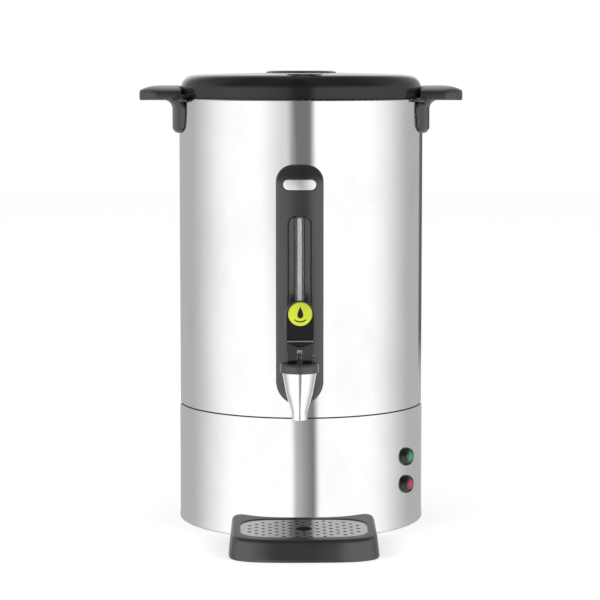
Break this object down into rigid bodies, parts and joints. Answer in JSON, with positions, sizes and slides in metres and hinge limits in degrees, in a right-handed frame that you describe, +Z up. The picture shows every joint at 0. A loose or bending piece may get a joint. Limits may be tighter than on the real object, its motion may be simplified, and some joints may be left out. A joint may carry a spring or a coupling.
{
  "type": "coffee urn",
  "caption": "Upright steel coffee urn with black lid, side handles, level gauge, lever tap, pilot lamps, percolator insert and loose drip tray.",
  "frame": {"origin": "on the tank's axis at the level of the table, in the middle of the four feet", "axes": "+Z up along the tank's axis, -Y forwards through the tap, +X to the right of a person facing the tap"},
  "size_m": [0.3062, 0.3404, 0.4277],
  "materials": {
    "polished_steel": "mirror polished",
    "inner_steel": "satin",
    "fastener_steel": "plain",
    "grid_steel": "satin, dark",
    "chrome_plate": "bright",
    "badge_metal": "brushed, bare",
    "spreader_aluminium": "plain",
    "inlet_brass": "nickel plated",
    "black_moulding": "satin",
    "black_gloss": "glossy",
    "lime_disc": "satin",
    "clear_tube": "clear",
    "green_lens": "clear coloured",
    "red_lens": "clear coloured",
    "seal_rubber": "plain, grey",
    "foot_rubber": "plain, black",
    "control_plastic": "plain",
    "terminal_plastic": "plain"
  },
  "bodies": {
    "urn": {"base_ring": "inner_steel", "base_skirt": "polished_steel", "blank_badge": "badge_metal", "bottom_plate": "inner_steel", "cover_screw": "fastener_steel", "foot_screws": "fastener_steel", "gauge_cover": "black_moulding", "gauge_seal": "seal_rubber", "gauge_top_plug": "seal_rubber", "gauge_tube": "clear_tube", "green_lamp_body": "black_gloss", "green_lamp_lens": "green_lens", "handle_left": "black_moulding", "handle_right": "black_moulding", "handle_screws": "fastener_steel", "heat_plate": "spreader_aluminium", "heating_element": "inner_steel", "inlet_pins": "inlet_brass", "mains_inlet": "black_gloss", "rear_panel": "black_moulding", "red_lamp_body": "black_gloss", "red_lamp_lens": "red_lens", "rubber_feet": "foot_rubber", "switch_housing": "black_gloss", "tank": "polished_steel", "tap_body": "chrome_plate", "tap_bonnet": "black_gloss", "tap_inner_gasket": "seal_rubber", "tap_nut": "fastener_steel", "tap_outer_gasket": "seal_rubber", "terminal_block": "terminal_plastic", "thermal_cutout": "control_plastic", "thermostat": "control_plastic", "valve_spring": "fastener_steel"},
    "lid_ring": {"lid_seal": "seal_rubber"},
    "lid_shell": {"lid": "black_moulding", "lid_centre_cap": "black_gloss"},
    "insert": {"pump_tube": "inner_steel", "filter_basket": "inner_steel"},
    "insert_cover": {"basket_cover": "inner_steel"},
    "valve": {"valve_stem": "fastener_steel", "valve_cup": "seal_rubber"},
    "lever": {"tap_lever": "black_moulding", "lever_disc": "lime_disc", "lever_pin": "fastener_steel"},
    "rocker": {"switch_rocker": "black_gloss"},
    "tray": {"drip_tray": "black_moulding"},
    "grid": {"drip_grid": "grid_steel"}
  },
  "joints": [
    {"name": "lid_lift", "type": "slide", "parent": "urn", "child": "lid_ring", "axis": [0, 0, 1], "range_m": [0, 0.5]},
    {"name": "lid_turn", "type": "hinge", "parent": "lid_ring", "child": "lid_shell", "pos_m": [0, 0, 0.402], "axis": [0, 0, 1], "range_deg": [-16, 0]},
    {"name": "insert_lift", "type": "slide", "parent": "urn", "child": "insert", "axis": [0, 0, 1], "range_m": [0, 0.3]},
    {"name": "cover_lift", "type": "slide", "parent": "insert", "child": "insert_cover", "axis": [0, 0, 1], "range_m": [0, 0.06]},
    {"name": "valve_lift", "type": "slide", "parent": "urn", "child": "valve", "axis": [0, 0, 1], "range_m": [0, 0.0026], "deforming": ["valve_spring"]},
    {"name": "lever_tilt", "type": "hinge", "parent": "valve", "child": "lever", "pos_m": [0, -0.152, 0.1748], "axis": [0.9969, 0.0785, 0], "range_deg": [0, 30.5], "stiffness_Nm_per_rad": 0.01, "springref_deg": -17.19},
    {"name": "rocker_tip", "type": "hinge", "parent": "urn", "child": "rocker", "pos_m": [0.02, 0.1215, 0.045], "axis": [1, 0, 0], "range_deg": [-16, 0]},
    {"name": "tray_slide", "type": "slide", "parent": "urn", "child": "tray", "axis": [0.0244, -0.9997, 0], "range_m": [0, 0.15]},
    {"name": "grid_lift", "type": "slide", "parent": "tray", "child": "grid", "axis": [0, 0, 1], "range_m": [0, 0.06]}
  ],
  "couplings": [
    {"joint": "insert_lift", "follows": "lid_lift", "ratio": 0.6},
    {"joint": "cover_lift", "follows": "lid_lift", "ratio": 0.12},
    {"joint": "lever_tilt", "follows": "valve_lift", "rad_per_m": 200}
  ]
}
